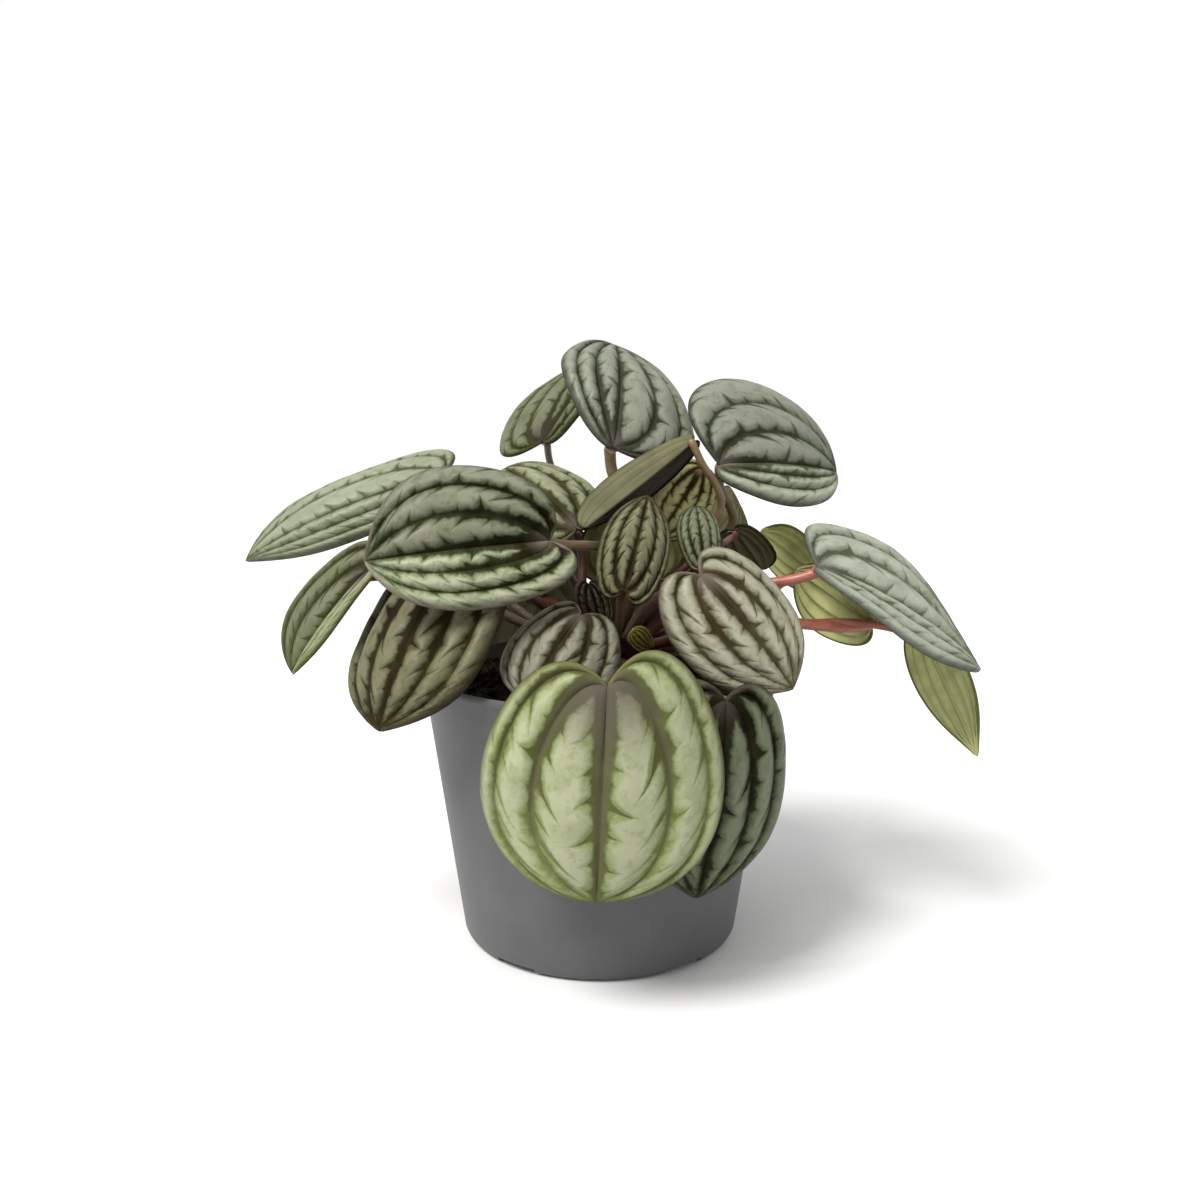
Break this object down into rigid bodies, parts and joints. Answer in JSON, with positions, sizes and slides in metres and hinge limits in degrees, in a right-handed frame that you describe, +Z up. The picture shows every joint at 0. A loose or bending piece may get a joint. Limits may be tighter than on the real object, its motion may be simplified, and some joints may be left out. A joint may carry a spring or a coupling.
{
  "type": "potted peperomia",
  "caption": "Small potted foliage plant: a low mound of ribbed, heart-shaped silver-green leaves on fleshy reddish stalks, growing from dark soil in a plain tapered grey pot.",
  "frame": {"origin": "on the floor under the middle of the pot, which is also the bottom centre of the bounding box within the frame tolerance", "axes": "+Z up along the axis of the pot; -Y towards the viewer of the front side, where the largest leaf hangs over the rim; +X to the right of that view"},
  "size_m": [0.2498, 0.1665, 0.2031],
  "materials": {
    "pot": "smooth satin grey, injection moulded",
    "soil": "dark damp crumbly potting soil",
    "stems": "smooth fleshy red-brown stalk, faintly waxy",
    "leaf_front": "waxy ribbed leaf, silver green between dark sunken veins",
    "leaf_front_small": "waxy ribbed leaf, silver green between dark sunken veins",
    "leaf_inner_dark": "waxy ribbed leaf, silver green between dark sunken veins",
    "leaf_low_left": "waxy ribbed leaf, silver green between dark sunken veins",
    "leaf_left": "waxy ribbed leaf, silver green between dark sunken veins",
    "leaf_behind_left": "waxy ribbed leaf, silver green between dark sunken veins",
    "leaf_upper_left": "waxy ribbed leaf, silver green between dark sunken veins",
    "leaf_top": "waxy ribbed leaf, silver green between dark sunken veins",
    "leaf_upper_right": "waxy ribbed leaf, silver green between dark sunken veins",
    "leaf_bridge": "waxy ribbed leaf, silver green between dark sunken veins",
    "leaf_middle_striped": "waxy ribbed leaf, silver green between dark sunken veins",
    "leaf_centre": "waxy ribbed leaf, silver green between dark sunken veins",
    "leaf_centre_small": "waxy ribbed leaf, silver green between dark sunken veins",
    "leaf_right": "waxy ribbed leaf, silver green between dark sunken veins",
    "leaf_low_right": "waxy ribbed leaf, silver green between dark sunken veins",
    "leaf_far_right": "waxy ribbed leaf, silver green between dark sunken veins",
    "leaf_lime_underside": "waxy ribbed leaf, silver green between dark sunken veins",
    "leaf_lime_hanging": "waxy ribbed leaf, silver green between dark sunken veins",
    "leaf_olive_underside": "waxy ribbed leaf, silver green between dark sunken veins",
    "leaf_far_left": "waxy ribbed leaf, silver green between dark sunken veins",
    "leaf_left_drooping": "waxy ribbed leaf, silver green between dark sunken veins",
    "leaf_young": "waxy ribbed leaf, silver green between dark sunken veins",
    "leaf_back_right": "waxy ribbed leaf, silver green between dark sunken veins",
    "leaf_back_middle_right": "waxy ribbed leaf, silver green between dark sunken veins",
    "leaf_back_middle_left": "waxy ribbed leaf, silver green between dark sunken veins",
    "leaf_back_left": "waxy ribbed leaf, silver green between dark sunken veins",
    "leaf_back_low_right": "waxy ribbed leaf, silver green between dark sunken veins",
    "leaf_back_low_left": "waxy ribbed leaf, silver green between dark sunken veins",
    "leaf_back_upper": "waxy ribbed leaf, silver green between dark sunken veins",
    "leaf_lime_upper": "waxy ribbed leaf, silver green between dark sunken veins",
    "leaf_dark_right": "waxy ribbed leaf, silver green between dark sunken veins"
  },
  "bodies": {
    "root": {"pot": "pot", "soil": "soil", "stems": "stems", "leaf_front": "leaf_front", "leaf_front_small": "leaf_front_small", "leaf_inner_dark": "leaf_inner_dark", "leaf_low_left": "leaf_low_left", "leaf_left": "leaf_left", "leaf_behind_left": "leaf_behind_left", "leaf_upper_left": "leaf_upper_left", "leaf_top": "leaf_top", "leaf_upper_right": "leaf_upper_right", "leaf_bridge": "leaf_bridge", "leaf_middle_striped": "leaf_middle_striped", "leaf_centre": "leaf_centre", "leaf_centre_small": "leaf_centre_small", "leaf_right": "leaf_right", "leaf_low_right": "leaf_low_right", "leaf_far_right": "leaf_far_right", "leaf_lime_underside": "leaf_lime_underside", "leaf_lime_hanging": "leaf_lime_hanging", "leaf_olive_underside": "leaf_olive_underside", "leaf_far_left": "leaf_far_left", "leaf_left_drooping": "leaf_left_drooping", "leaf_young": "leaf_young", "leaf_back_right": "leaf_back_right", "leaf_back_middle_right": "leaf_back_middle_right", "leaf_back_middle_left": "leaf_back_middle_left", "leaf_back_left": "leaf_back_left", "leaf_back_low_right": "leaf_back_low_right", "leaf_back_low_left": "leaf_back_low_left", "leaf_back_upper": "leaf_back_upper", "leaf_lime_upper": "leaf_lime_upper", "leaf_dark_right": "leaf_dark_right"}
  },
  "joints": []
}
